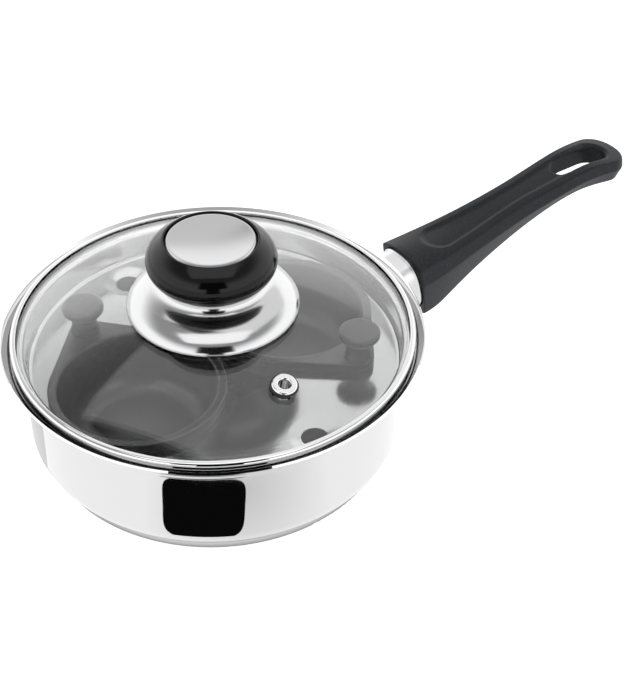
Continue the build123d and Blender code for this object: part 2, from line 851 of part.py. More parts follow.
# Brass insert in the knob's body
with BuildPart() as knob_insert:
    with BuildSketch(Plane.XY.offset(insert_foot)):
        Circle(insert_radius)
        Circle(lid_screw_radius + fit, mode=Mode.SUBTRACT)
    extrude(amount=insert_height)
finish(knob_insert, "knob_insert")

# Steel cap in the knob's recess, dished, with a narrow bevel
cap_rim_radius = knob_recess_radius - knob_cap_gap
cap_land_radius = cap_rim_radius - knob_cap_bevel
cap_dish_radius = cap_land_radius - knob_cap_land
cap_dish_ball = (cap_dish_radius**2 + knob_cap_dish**2) / (2 * knob_cap_dish)
cap_top = recess_floor + knob_cap_height
with BuildPart() as knob_cap:
    revolve(
        outline(
            [
                (0, recess_floor),
                (cap_rim_radius, recess_floor),
                (cap_rim_radius, cap_top - knob_cap_bevel),
                (cap_land_radius, cap_top),
                (0, cap_top),
            ]
        ),
        axis=Axis.Z,
    )
    with BuildSketch(Plane.XZ):
        with Locations((0, cap_top - knob_cap_dish + cap_dish_ball)):
            Circle(cap_dish_ball)
        with Locations((0, recess_floor)):
            Rectangle(cap_rim_radius, knob_recess, align=(Align.MIN, Align.MIN), mode=Mode.INTERSECT)
    revolve(axis=Axis.Z, mode=Mode.SUBTRACT)
finish(knob_cap, "knob_cap")

# Washer under the glass
with BuildPart() as knob_washer:
    with BuildSketch(Plane.XY.offset(washer_foot)):
        Circle(washer_radius)
        Circle(lid_screw_radius + fit, mode=Mode.SUBTRACT)
    extrude(amount=washer_height)
finish(knob_washer, "knob_washer")

# Screw from under the glass into the knob's insert
with BuildPart() as knob_screw:
    revolve(
        outline(
            [
                (0, washer_foot - lid_screw_head),
                (lid_screw_head_radius, washer_foot - lid_screw_head),
                (lid_screw_head_radius, washer_foot),
                (lid_screw_radius, washer_foot),
                (lid_screw_radius, lid_screw_end),
                (0, lid_screw_end),
            ],
            [(lid_screw_head_radius, washer_foot - lid_screw_head, lid_screw_head_round)],
        ),
        axis=Axis.Z,
    )
    with BuildSketch(Plane.XY.offset(washer_foot - lid_screw_head)):
        Rectangle(2 * lid_screw_head_radius, lid_screw_slot)
    extrude(amount=lid_screw_slot_depth, mode=Mode.SUBTRACT)
finish(knob_screw, "knob_screw")
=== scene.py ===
# %% [markdown]
# An egg poacher pan, dressed in Blender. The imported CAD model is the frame: every piece already has its
# real size and place, in metres. This lesson gives each surface its finish, and builds again, as smooth
# surfaces worked out by formula, the pieces whose soft edges and mirror finish the CAD solids can't show.

# %% Load the frame
import math

import bmesh
import bpy
import numpy as np
from mathutils import Matrix, Vector


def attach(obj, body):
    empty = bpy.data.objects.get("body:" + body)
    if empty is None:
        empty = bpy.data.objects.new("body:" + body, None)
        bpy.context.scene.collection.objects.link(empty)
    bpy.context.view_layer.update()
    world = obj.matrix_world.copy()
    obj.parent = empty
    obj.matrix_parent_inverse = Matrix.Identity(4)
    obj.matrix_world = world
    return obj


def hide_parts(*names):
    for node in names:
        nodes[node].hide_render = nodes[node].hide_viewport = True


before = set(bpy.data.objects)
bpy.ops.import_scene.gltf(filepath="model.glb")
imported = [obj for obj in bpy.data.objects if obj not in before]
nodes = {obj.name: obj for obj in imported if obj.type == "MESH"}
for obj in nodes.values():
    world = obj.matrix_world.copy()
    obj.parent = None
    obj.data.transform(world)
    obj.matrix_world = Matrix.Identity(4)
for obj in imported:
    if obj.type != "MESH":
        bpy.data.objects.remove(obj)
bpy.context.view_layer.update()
mm = 0.001

# %% [markdown]
# The camera stands where the photograph was taken from: in front of the pan, with the handle pointing to
# the right and a little away, looking down at about forty degrees. It could be placed by eye, but circles
# of known size show as ellipses, and those of the rim, the lid's band, the knob and the base give its
# place, aim, roll and focal length together. The picture's long side is its height, so the lens follows
# from that side.

# %% Camera
picture_height = 684
focal_pixels = 1350.5
camera_place = Vector((-0.2244, -0.3734, 0.4025))
camera_target = Vector((0.0351, -0.0211, 0.0423))
camera_roll = 0.018

camera_data = bpy.data.cameras.new("camera")
camera_data.lens = camera_data.sensor_width * focal_pixels / picture_height
camera = bpy.data.objects.new("camera", camera_data)
bpy.context.scene.collection.objects.link(camera)
look = (camera_target - camera_place).to_track_quat("-Z", "Y").to_matrix().to_4x4()
camera.matrix_world = Matrix.Translation(camera_place) @ look @ Matrix.Rotation(camera_roll, 4, "Z")
bpy.context.scene.camera = camera
bpy.context.scene.view_settings.view_transform = "Standard"
print("lens in mm:", round(camera_data.lens, 2))

# %% [markdown]
# Polished steel is only as good as what it reflects. The studio is a pale room with a white floor, two
# glowing panels overhead and a few cards: a dark opening and a dark stand around the camera, black cards
# and a grey one near the pan. The steel shows them as dark and bright shapes, and without them it would
# look like white plastic. The panels and cards are seen in polished surfaces only, so they take no light
# away from the part.

# %% Studio helpers
def shader_nodes(tree):
    """Empty node tree, ready for new nodes."""
    tree.nodes.clear()
    return tree.nodes, tree.links


def shader_mix(tree, link, share, first, second):
    """First shader where the share is 0, second where it is 1."""
    mix = tree.new("ShaderNodeMixShader")
    link.new(share, mix.inputs[0])
    link.new(first, mix.inputs[1])
    link.new(second, mix.inputs[2])
    return mix.outputs[0]


def either_ray(tree, link, path, *kinds):
    """1 where the ray is one of the kinds, 0 elsewhere."""
    value = path.outputs[kinds[0]]
    for kind in kinds[1:]:
        most = tree.new("ShaderNodeMath")
        most.operation = "MAXIMUM"
        link.new(value, most.inputs[0])
        link.new(path.outputs[kind], most.inputs[1])
        value = most.outputs[0]
    return value


def card(name, corners, material):
    """Flat card: one face through the corners, which are given in metres, in order."""
    mesh = bpy.data.meshes.new(name)
    mesh.from_pydata(np.asarray(corners, float).tolist(), [], [tuple(range(len(corners)))])
    mesh.materials.append(material)
    obj = bpy.data.objects.new(name, mesh)
    bpy.context.scene.collection.objects.link(obj)
    return obj


# %% [markdown]
# The floor is a sheet of plain white paper. The camera sees it lit, with the part's soft shadow on it.
# Polished steel and glass see a brighter sheet, since a lit table fills the lower half of what they reflect.
# Two sheets could do that, but one material can as well: Light Path tells it what kind of ray has arrived.

# %% Floor
floor_half = 2.5
paper_tone, paper_glow = 0.88, 0.7
floor_material = bpy.data.materials.new("floor")
floor_material.use_nodes = True
tree, link = shader_nodes(floor_material.node_tree)
path = tree.new("ShaderNodeLightPath")
matte = tree.new("ShaderNodeBsdfDiffuse")
matte.inputs["Color"].default_value = (paper_tone, paper_tone, paper_tone, 1)
glow = tree.new("ShaderNodeEmission")
glow.inputs["Strength"].default_value = paper_glow
lit = tree.new("ShaderNodeAddShader")
link.new(matte.outputs[0], lit.inputs[0])
link.new(glow.outputs[0], lit.inputs[1])

# In reflections the floor glows bright, with painted shade near the pan and a soft painted shadow around the
# black card.
mirrored_floor, card_shade = 1.3, 0.35
near_reach, near_power = 5 * mm, 1.5
spot_place, spot_turn, spot_size = (-0.045, -0.105, 0), math.radians(-30), (0.075, 0.05, 1)
open_air = tree.new("ShaderNodeAmbientOcclusion")
open_air.inputs["Distance"].default_value = near_reach
# Painted contact shade: the glow seen in reflections dims where Ambient Occlusion finds the pan close by.
painted_contact_shade = tree.new("ShaderNodeMath")
painted_contact_shade.operation = "POWER"
painted_contact_shade.inputs[1].default_value = near_power
where = tree.new("ShaderNodeTexCoord")
around_card = tree.new("ShaderNodeMapping")
around_card.vector_type = "TEXTURE"
around_card.inputs["Location"].default_value = spot_place
around_card.inputs["Rotation"].default_value = (0, 0, spot_turn)
around_card.inputs["Scale"].default_value = spot_size
soft_spot = tree.new("ShaderNodeTexGradient")
soft_spot.gradient_type = "SPHERICAL"
# Painted shadow of the black card: a soft spot where the glow seen in reflections is dimmed.
painted_card_shadow = tree.new("ShaderNodeMapRange")
painted_card_shadow.inputs["To Min"].default_value = mirrored_floor
painted_card_shadow.inputs["To Max"].default_value = mirrored_floor * (1 - card_shade)
shade = tree.new("ShaderNodeMath")
shade.operation = "MULTIPLY"
bounced = tree.new("ShaderNodeEmission")
link.new(where.outputs["Object"], around_card.inputs["Vector"])
link.new(around_card.outputs["Vector"], soft_spot.inputs["Vector"])
link.new(soft_spot.outputs["Fac"], painted_card_shadow.inputs["Value"])
link.new(open_air.outputs["AO"], painted_contact_shade.inputs[0])
link.new(painted_contact_shade.outputs[0], shade.inputs[0])
link.new(painted_card_shadow.outputs["Result"], shade.inputs[1])
link.new(shade.outputs[0], bounced.inputs["Strength"])
polished = either_ray(tree, link, path, "Is Glossy Ray", "Is Transmission Ray")
shown = shader_mix(tree, link, path.outputs["Is Camera Ray"], matte.outputs[0], lit.outputs[0])
output = tree.new("ShaderNodeOutputMaterial")
link.new(shader_mix(tree, link, polished, shown, bounced.outputs[0]), output.inputs[0])
ground = floor_half * np.array([(-1, -1, 0), (1, -1, 0), (1, 1, 0), (-1, 1, 0)])
card("floor", ground, floor_material)
print("floor:", 2 * floor_half, "m across")

# %% [markdown]
# The room is what steel and glass mostly show: bright low down and dim overhead. A picture of a real room
# could surround the scene, but it would bring shapes of its own. A soft step on the height of each
# direction gives the same light from every side, and the camera sees a plain white backdrop instead.

# %% Room
# Strength low down, strength overhead, and the height where it starts to fall: 0 is level and 1 straight up.
light_low, light_high, light_start = 1.5, 0.2, 0.5
shine_low, shine_high, shine_start = 2.45, 0.65, 0.42
fade_end = 0.77
world = bpy.data.worlds.new("studio")
bpy.context.scene.world = world
world.use_nodes = True
tree, link = shader_nodes(world.node_tree)
path = tree.new("ShaderNodeLightPath")
direction = tree.new("ShaderNodeTexCoord")
parts = tree.new("ShaderNodeSeparateXYZ")
link.new(direction.outputs["Generated"], parts.inputs[0])
backgrounds = []
for low, high, begin in ((light_low, light_high, light_start), (shine_low, shine_high, shine_start)):
    fade = tree.new("ShaderNodeMapRange")
    fade.interpolation_type = "SMOOTHSTEP"
    for socket, number in zip(("From Min", "From Max", "To Min", "To Max"), (begin, fade_end, low, high)):
        fade.inputs[socket].default_value = number
    link.new(parts.outputs["Z"], fade.inputs["Value"])
    background = tree.new("ShaderNodeBackground")
    link.new(fade.outputs["Result"], background.inputs["Strength"])
    backgrounds.append(background.outputs[0])
backdrop = tree.new("ShaderNodeBackground")
backdrop.inputs["Color"].default_value = (1, 1, 1, 1)
output = tree.new("ShaderNodeOutputWorld")
polished = either_ray(tree, link, path, "Is Glossy Ray", "Is Transmission Ray")
shine = shader_mix(tree, link, polished, *backgrounds)
link.new(shader_mix(tree, link, path.outputs["Is Camera Ray"], shine, backdrop.outputs[0]), output.inputs[0])
print("room in reflections: strength", shine_low, "low down and", shine_high, "overhead")

# %% [markdown]
# Matte plastic and coating show their shape by soft light and shade, so two weak lamps model them, one high
# behind the pan and one low in front of it. Stronger room light would do it too, but it comes from
# everywhere and leaves them flat. Polished surfaces would show each lamp as a white square, so it is hidden
# from them.

# %% Lights for the matte surfaces
def matte_light(name, place, size, power):
    """Square lamp that faces the pan's axis: it models matte surfaces, and polished ones don't show it."""
    data = bpy.data.lights.new(name, "AREA")
    data.shape = "SQUARE"
    data.size = size
    data.energy = power
    lamp = bpy.data.objects.new(name, data)
    bpy.context.scene.collection.objects.link(lamp)
    facing = (-place).to_track_quat("-Z", "Y").to_matrix().to_4x4()
    lamp.matrix_world = Matrix.Translation(place) @ facing
    lamp.visible_glossy = False
    lamp.visible_transmission = False
    print(name, "is", size, "m across and has", power, "W")


matte_light("key_light", place=Vector((-0.6, 0.6, 1.1)), size=0.8, power=1.8)
matte_light("front_light", place=Vector((0.25, -1.0, 0.22)), size=0.7, power=4.2)

# %% [markdown]
# Glowing panels draw polished metal bright, and black cards put dark shapes beside the bright ones. The
# mirror law tells where each one goes: a face that leans by an angle moves what it shows by twice that
# angle. Area lamps could be the panels, but a ray that meets a lamp goes on to the room behind it and
# gathers both, which is too bright. A plain glowing face stops the ray.

# %% Cards
def card_material(name, tone):
    """Card of one plain tone, which no light changes."""
    material = bpy.data.materials.new(name)
    material.use_nodes = True
    tree, link = shader_nodes(material.node_tree)
    plain = tree.new("ShaderNodeEmission")
    plain.inputs["Color"].default_value = (tone, tone, tone, 1)
    output = tree.new("ShaderNodeOutputMaterial")
    link.new(plain.outputs[0], output.inputs[0])
    return material


def only_in_reflections(obj):
    """The card shows in polished surfaces, and neither the camera nor the soft light meets it."""
    obj.visible_camera = False
    obj.visible_diffuse = False
    obj.visible_shadow = False


black_card = card_material("black_card", 0.004)
grey_card = card_material("grey_card", 0.88)
panel_light = card_material("panel_light", 1.32)
front_panel_light = card_material("front_panel_light", 1.9)

# %% Large panel
# One corner of this panel shows in the glass over the left cup, which gave its place and turn.
panel_corner, panel_turn = Vector((-0.237, 0.56, 0.9)), math.radians(25.1)
panel_across, panel_deep = 1.4, 1.1
across = Vector((math.cos(panel_turn), math.sin(panel_turn), 0)) * panel_across
deep = Vector((math.sin(panel_turn), -math.cos(panel_turn), 0)) * panel_deep
soft_panel = [panel_corner, panel_corner + across, panel_corner + across + deep, panel_corner + deep]
only_in_reflections(card("soft_panel", soft_panel, panel_light))
print("large panel:", panel_across, "by", panel_deep, "m")

# %% Around the camera
toward = Vector((camera_place.x, camera_place.y, 0)).normalized()
sideways = Vector((-toward.y, toward.x, 0))


def upright(place, half_across, low, high):
    """Corners of an upright rectangle that faces the pan's axis: metres to both sides and up from a place."""
    corners = ((-half_across, low), (half_across, low), (half_across, high), (-half_across, high))
    return [place + sideways * side + Vector((0, 0, rise)) for side, rise in corners]


# The opening is behind the camera, and the stand is under it.
opening_behind, opening_half, opening_rise = 0.05, 0.21, 0.19
stand_half, stand_drop = 0.08, 0.38
opening = upright(camera_place + toward * opening_behind, opening_half, -opening_rise, opening_rise)
only_in_reflections(card("dark_opening", opening, black_card))

# The second panel hangs over the way from the pan to the camera, as wide to both sides.
front_near, front_far, front_half, front_height = 0.06, 0.45, 0.45, 0.88
places = ((front_near, -1), (front_near, 1), (front_far, 1), (front_far, -1))
lifted = Vector((0, 0, front_height))
front_panel = [toward * reach + sideways * front_half * side + lifted for reach, side in places]
only_in_reflections(card("front_panel", front_panel, front_panel_light))
only_in_reflections(card("dark_stand", upright(camera_place, stand_half, -stand_drop, 0), black_card))

# %% Cards near the pan
# The black card on the floor is a rounded patch of a ring around the pan, a superellipse in turn and
# distance. First come its middle, half its turn and how much its far side adds to that, in degrees, and then
# the middle and the half of its distances from the axis, in millimetres.
card_lift = 0.2 * mm
patch_middle, patch_half_turn, patch_flare = -127.6, 15.0, 1.8
patch_distance, patch_half_depth = 105.5, 16.5
angle = np.linspace(0, 2 * np.pi, 96, endpoint=False)
patch_power = 2 / 5
patch_side = np.sign(np.cos(angle)) * np.abs(np.cos(angle)) ** patch_power
patch_far = np.sign(np.sin(angle)) * np.abs(np.sin(angle)) ** patch_power
patch_turn = np.radians(patch_middle + patch_side * (patch_half_turn + patch_flare * patch_far))
patch_reach = (patch_distance + patch_half_depth * patch_far) * mm
table_card = np.stack(
    [patch_reach * np.cos(patch_turn), patch_reach * np.sin(patch_turn), np.full(angle.size, card_lift)], 1
)
only_in_reflections(card("table_card", table_card, black_card))

# A black triangle hangs beside the large panel, just under its height, and darkens that part of the glass.
gap_card = [(-0.240, 0.535, 0.899), (0.02, -0.03, 0.899), (-0.165, -0.015, 0.899)]
only_in_reflections(card("gap_card", gap_card, black_card))

# A grey card on the floor gives the wall its soft left edge.
edge_card = np.array([(-79.5, 9, 0.2), (-99, 62, 0.2), (-85, 86, 0.2), (-50, 96, 0.2), (-55, 58, 0.2)]) * mm
only_in_reflections(card("edge_card", edge_card, grey_card))

# %% [markdown]
# Every finish starts from Blender's Principled shader. What makes it a finish, and not a colour, is what
# varies over the surface: polish marks, the grain of a moulding, the specks of a coating. Painted pictures
# could hold that detail, but noise worked out from Object coordinates needs no unwrapping, stays fine from
# close by and moves with its piece.

# %% Helpers for finishes
def finish(name, colour, roughness, metallic=0.0, **sockets):
    """New material with a Principled shader, and its node tree's nodes and links to add detail to."""
    material = bpy.data.materials.new(name)
    material.use_nodes = True
    tree, link = shader_nodes(material.node_tree)
    shader = tree.new("ShaderNodeBsdfPrincipled")
    shader.inputs["Base Color"].default_value = (*colour, 1)
    shader.inputs["Roughness"].default_value = roughness
    shader.inputs["Metallic"].default_value = metallic
    for socket, value in sockets.items():
        shader.inputs[socket.replace("_", " ")].default_value = value
    output = tree.new("ShaderNodeOutputMaterial")
    link.new(shader.outputs[0], output.inputs[0])
    return material, tree, link, shader


def noise(tree, link, scale, detail=3.0, vector=None):
    """Noise on Object coordinates: scale counts its cells in a metre."""
    texture = tree.new("ShaderNodeTexNoise")
    texture.inputs["Scale"].default_value = scale
    texture.inputs["Detail"].default_value = detail
    if vector is None:
        vector = tree.new("ShaderNodeTexCoord").outputs["Object"]
    link.new(vector, texture.inputs["Vector"])
    return texture.outputs["Fac"]


def spread(tree, link, value, low, high, start=0.3, end=0.7):
    """Stretches a value from start..end to low..high."""
    ramp = tree.new("ShaderNodeMapRange")
    for socket, number in zip(("From Min", "From Max", "To Min", "To Max"), (start, end, low, high)):
        ramp.inputs[socket].default_value = number
    link.new(value, ramp.inputs["Value"])
    return ramp.outputs["Result"]


def blend_colours(tree, link, value, colour_a, colour_b):
    """Colour a where the value is 0, colour b where it is 1."""
    mix = tree.new("ShaderNodeMix")
    mix.data_type = "RGBA"
    mix.inputs["A"].default_value = (*colour_a, 1)
    mix.inputs["B"].default_value = (*colour_b, 1)
    link.new(value, mix.inputs["Factor"])
    return mix.outputs["Result"]


def relief(tree, link, shader, height, depth, strength=1.0):
    """Raises the surface by a value times a depth in metres, for light only."""
    bump = tree.new("ShaderNodeBump")
    bump.inputs["Strength"].default_value = strength
    bump.inputs["Distance"].default_value = depth
    link.new(height, bump.inputs["Height"])
    link.new(bump.outputs[0], shader.inputs["Normal"])


# %% [markdown]
# The pan, its base cap and the lid's band are mirror polished: nearly smooth, with a trace of waviness from
# the press. Where two polished pieces meet, shade is painted into the narrow seam between them, standing in
# for its own repeated reflections. More bounces of light alone would not darken it enough, so Ambient
# Occlusion, which measures how open a place is within less than a millimetre, blends a dark tone into the
# seams as painted shade.

# %% Mirror-polished steel
mirror_tone, painted_seam_shade, seam_reach = (0.63, 0.63, 0.63), (0.04, 0.04, 0.04), 0.8 * mm
mirror_steel, tree, link, shader = finish("mirror_steel", mirror_tone, 0.03, metallic=1.0)
polish = noise(tree, link, scale=60, detail=6)
link.new(spread(tree, link, polish, low=0.015, high=0.05), shader.inputs["Roughness"])
# Painted shade: where the steel is closed in, its base colour is blended towards a dark tone.
seam = tree.new("ShaderNodeAmbientOcclusion")
seam.inputs["Distance"].default_value = seam_reach
open_share = spread(tree, link, seam.outputs["AO"], low=0, high=1, start=0.15, end=0.7)
link.new(blend_colours(tree, link, open_share, painted_seam_shade, mirror_tone), shader.inputs["Base Color"])
relief(tree, link, shader, noise(tree, link, scale=18, detail=1), depth=0.1 * mm, strength=0.3)

# %% [markdown]
# The tray, the knob's skirt and its cap are polished while they turn, which leaves fine circular marks.
# Grooves in the mesh would need millions of faces, so noise that is stretched along circles varies the
# roughness and tilts the light a little.

# %% Steel with circular marks
def ring_coordinates(tree, link, fineness):
    """Radius from the pan's axis and height, stretched: noise on them makes marks that run in circles."""
    parts = tree.new("ShaderNodeSeparateXYZ")
    link.new(tree.new("ShaderNodeTexCoord").outputs["Object"], parts.inputs[0])
    flat = tree.new("ShaderNodeCombineXYZ")
    for letter in "XY":
        link.new(parts.outputs[letter], flat.inputs[letter])
    radius = tree.new("ShaderNodeVectorMath")
    radius.operation = "LENGTH"
    link.new(flat.outputs[0], radius.inputs[0])
    rings = tree.new("ShaderNodeCombineXYZ")
    for value, letter in ((radius.outputs["Value"], "X"), (parts.outputs["Z"], "Y")):
        stretched = tree.new("ShaderNodeMath")
        stretched.operation = "MULTIPLY"
        stretched.inputs[1].default_value = fineness
        link.new(value, stretched.inputs[0])
        link.new(stretched.outputs[0], rings.inputs[letter])
    return rings.outputs[0]


def turned_steel(name, colour, roughness, low, high, detail, depth):
    """Steel polished on a lathe: marks vary its roughness from low to high and are raised by a depth."""
    material, tree, link, shader = finish(name, colour, roughness, metallic=1.0)
    marks = noise(tree, link, scale=60, detail=detail, vector=ring_coordinates(tree, link, fineness=30))
    link.new(spread(tree, link, marks, low, high), shader.inputs["Roughness"])
    relief(tree, link, shader, marks, depth)
    return material


deeper, shallow = 0.02 * mm, 0.01 * mm
skirt_tone = (0.47, 0.47, 0.475)
tray_steel = turned_steel("tray_steel", (0.5, 0.503, 0.507), 0.16, low=0.08, high=0.2, detail=4, depth=deeper)
satin_steel = turned_steel("satin_steel", skirt_tone, 0.14, low=0.09, high=0.19, detail=3, depth=shallow)
cap_steel = turned_steel("cap_steel", (0.39, 0.39, 0.395), 0.2, low=0.16, high=0.24, detail=3, depth=shallow)

# %% [markdown]
# The sleeve of the handle is finely satined, and the pieces inside are plain metal as it comes from a
# machine. An even grain in the roughness is enough for them. The seals are soft black rubber with a fine
# skin.

# %% Plain metals and rubber
def grained_metal(name, colour, roughness, grain, low, high):
    """Metal with an even grain, so many cells in a metre: its roughness wanders from low to high."""
    material, tree, link, shader = finish(name, colour, roughness, metallic=1.0)
    link.new(spread(tree, link, noise(tree, link, scale=grain), low, high), shader.inputs["Roughness"])
    return material


guard_steel = grained_metal("guard_steel", (0.6, 0.6, 0.6), 0.32, grain=400, low=0.3, high=0.38)
plain_steel = grained_metal("plain_steel", (0.55, 0.55, 0.56), 0.3, grain=300, low=0.25, high=0.4)
core_aluminium = grained_metal("core_aluminium", (0.7, 0.7, 0.71), 0.4, grain=300, low=0.3, high=0.5)
insert_brass = grained_metal("insert_brass", (0.72, 0.55, 0.25), 0.3, grain=300, low=0.25, high=0.4)

black_rubber, tree, link, shader = finish("black_rubber", (0.012, 0.012, 0.012), 0.5)
relief(tree, link, shader, noise(tree, link, scale=900), depth=0.03 * mm)

# %% [markdown]
# The egg cups are drawn aluminium with a sprayed non-stick coating: dark, half matt, with lighter specks.
# The specks could be scattered as separate dots, but they lie in the coating and have no edges, so fine
# noise mixes two tones and lifts the surface by a hair.

# %% Coating of the cups
cup_coating, tree, link, shader = finish("cup_coating", (0.015, 0.015, 0.016), 0.36, Specular_IOR_Level=0.9)
coating_tone, speck_tone = (0.012, 0.012, 0.013), (0.1, 0.1, 0.105)
specks = noise(tree, link, scale=2200, detail=2)
speck_share = spread(tree, link, specks, low=0, high=1, start=0.45, end=0.75)
link.new(blend_colours(tree, link, speck_share, coating_tone, speck_tone), shader.inputs["Base Color"])
relief(tree, link, shader, specks, depth=0.05 * mm, strength=0.15)

# %% [markdown]
# The grip and the knobs are phenolic mouldings. The grip has the fine grain of its mould, the finger knobs
# are satin, and the lid's knob is nearly polished. Such blacks differ less in colour than in what they
# throw back, so each one gets its own roughness and specular level. The grain could be modelled, but it is
# finer than any mesh of this size.

# %% Mouldings
grip_tone = (0.012, 0.0125, 0.0145)
grip_plastic, tree, link, shader = finish("grip_plastic", grip_tone, 0.45, Specular_IOR_Level=0.14)
low_tone, high_tone = (0.01, 0.0109, 0.0134), (0.024, 0.0256, 0.0302)
grain = noise(tree, link, scale=1800, detail=2)
grain_share = spread(tree, link, grain, low=0, high=1, start=0.4, end=0.7)
link.new(blend_colours(tree, link, grain_share, low_tone, high_tone), shader.inputs["Base Color"])
relief(tree, link, shader, grain, depth=0.08 * mm, strength=0.5)

pin_plastic, tree, link, shader = finish("pin_plastic", (0.02, 0.02, 0.022), 0.28, Specular_IOR_Level=0.7)
relief(tree, link, shader, noise(tree, link, scale=1200), depth=0.04 * mm, strength=0.5)

knob_tone = (0.002, 0.002, 0.0024)
knob_plastic, tree, link, shader = finish("knob_plastic", knob_tone, 0.12, Specular_IOR_Level=0.22)
haze = noise(tree, link, scale=500)
link.new(spread(tree, link, haze, low=0.1, high=0.15), shader.inputs["Roughness"])

# %% [markdown]
# The lid is clear tempered glass: a shallow dome, closed all round like the real pane. A transparent shader
# with some gloss would be quicker, but full transmission bends the light, which draws the bright and dark
# rims of the glass and moves what is seen through it by as much as real glass does.

# %% Glass
lid_clear, *_ = finish("lid_clear", (0.97, 0.97, 0.97), 0.0, Transmission_Weight=1.0, IOR=1.5)

# %% [markdown]
# The frame's nodes come undressed. Each one is listed with its finish, which goes into every slot it has.
# The nodes that are built again further down get it too, so that the part is whole at this step of the
# lesson.

# %% Finishes on the CAD nodes
finishes = {
    "pan_body": mirror_steel,
    "base_cap": mirror_steel,
    "base_core": core_aluminium,
    "handle_bracket": plain_steel,
    "handle_guard": guard_steel,
    "handle_grip": grip_plastic,
    "handle_bolt": plain_steel,
    "poacher_tray": tray_steel,
    "egg_cup_1": cup_coating,
    "egg_cup_2": cup_coating,
    "cup_knob_1": pin_plastic,
    "cup_knob_2": pin_plastic,
    "cup_knob_screw_1": plain_steel,
    "cup_knob_screw_2": plain_steel,
    "lid_glass": lid_clear,
    "lid_band": mirror_steel,
    "vent_eyelet": mirror_steel,
    "vent_gasket": black_rubber,
    "knob_gasket": black_rubber,
    "knob_skirt": satin_steel,
    "knob_base": knob_plastic,
    "knob_body": knob_plastic,
    "knob_cap": cap_steel,
    "knob_insert": insert_brass,
    "knob_washer": plain_steel,
    "knob_screw": plain_steel,
}
for name, material in finishes.items():
    for material_slot in nodes[name].material_slots:
        material_slot.material = material
print("dressed:", len(finishes), "nodes in", len(set(finishes.values())), "finishes")

# %% [markdown]
# Some pieces are built again, because their soft edges decide how they shine. They could be drawn by hand
# and smoothed by subdivision, but then their sizes would only be near. Each is one or more grids of points
# worked out by formula instead, in millimetres, in the pan's own frame. Neighbouring points are joined by
# quads, and points that meet are merged.

# %% Meshes from grids
def grid_faces(rows, columns, first=0, rows_meet=False, columns_meet=False):
    """Quads between neighbouring points of a grid, numbered row by row from the first number."""
    number = first + np.arange(rows * columns).reshape(rows, columns)
    if rows_meet:
        number = np.concatenate([number, number[:1]], 0)
    if columns_meet:
        number = np.concatenate([number, number[:, :1]], 1)
    quads = np.stack([number[:-1, :-1], number[:-1, 1:], number[1:, 1:], number[1:, :-1]], -1)
    return quads.reshape(-1, 4)


merge_within, sliver_width = 0.002 * mm, 0.001 * mm


def mesh_object(name, grids, rows_meet=False, columns_meet=False, sharp=35):
    """Object from grids in millimetres, smooth but for edges over an angle: points that meet are merged."""
    points, faces, first = [], [], 0
    for grid in grids:
        rows, columns = grid.shape[:2]
        points.append(grid.reshape(-1, 3) * mm)
        faces.append(grid_faces(rows, columns, first, rows_meet, columns_meet))
        first += rows * columns
    mesh = bpy.data.meshes.new(name)
    mesh.from_pydata(np.concatenate(points).tolist(), [], np.concatenate(faces).tolist())
    shape = bmesh.new()
    shape.from_mesh(mesh)
    bmesh.ops.remove_doubles(shape, verts=shape.verts, dist=merge_within)
    bmesh.ops.dissolve_degenerate(shape, edges=shape.edges, dist=sliver_width)
    bmesh.ops.recalc_face_normals(shape, faces=shape.faces)
    shape.to_mesh(mesh)
    shape.free()
    mesh.shade_smooth()
    mesh.set_sharp_from_angle(angle=math.radians(sharp))
    obj = bpy.data.objects.new(name, mesh)
    bpy.context.scene.collection.objects.link(obj)
    return obj


def stand_in(obj, node, material, body):
    """The new object takes the place of a CAD node, which is hidden: it goes on the same body and gets the
    given material.
    """
    obj.data.materials.clear()
    obj.data.materials.append(material)
    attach(obj, body)
    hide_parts(node)
    measured = np.round(np.array(obj.dimensions) / mm, 1)
    print(node, "is now", obj.name, "with", len(obj.data.polygons), "faces,", measured, "mm")


# %% [markdown]
# The guard between the wall and the grip is a bright oval sleeve. Its section is a superellipse, square to
# the handle's axis. It starts on the pan's wall, wherever the axis's direction meets that cylinder, and
# ends in a recess of the grip. A slight bead just before the grip catches the light. An extruded oval, cut
# off by the wall with a boolean, would give the same sleeve, but with thin faces at the cut that shine
# unevenly.

# %% Handle frame
# The middle of the grip's near face, and the rise of the handle's axis
handle_start = np.array((102.0, 0.0, 33.8))
handle_tilt = math.radians(12.9)
handle_along = np.array((math.cos(handle_tilt), 0, math.sin(handle_tilt)))
handle_up = np.array((-math.sin(handle_tilt), 0, math.cos(handle_tilt)))
handle_side = np.array((0.0, 1.0, 0.0))
oval_across, oval_up, oval_power, oval_lift = 12.3, 14.2, 2.7, 1.8


def handle_points(side, up, along):
    """Places in the pan's frame from distances across, up and along the handle's axis."""
    side, up, along = (distance[..., None] for distance in np.broadcast_arrays(side, up, along))
    return handle_start + side * handle_side + up * handle_up + along * handle_along


def oval(turn, grow=0.0):
    """Superellipse around the handle, |y/a|^n + |v/b|^n = 1, with half axes a and b grown by a distance."""
    side, up = np.cos(turn), np.sin(turn)
    across, high = oval_across + grow, oval_up + grow
    reach = (np.abs(side / across) ** oval_power + np.abs(up / high) ** oval_power) ** (-1 / oval_power)
    return reach * side, oval_lift + reach * up


# %% Handle guard
# The sheet, the radius where the sleeve starts, just off the wall, and its end inside the grip's recess
guard_sheet, guard_wall, guard_end = 0.9, 79.45, 1.4
bead_middle, bead_reach, bead_rise = -1.1, 0.9, 0.35
turn = np.linspace(0, 2 * np.pi, 240, endpoint=False)[None]
# Rows are sparse from the wall on, and close together around the bead
along_share = np.concatenate([np.linspace(0, 0.8, 12), np.linspace(0.82, 1, 36)])[:, None]


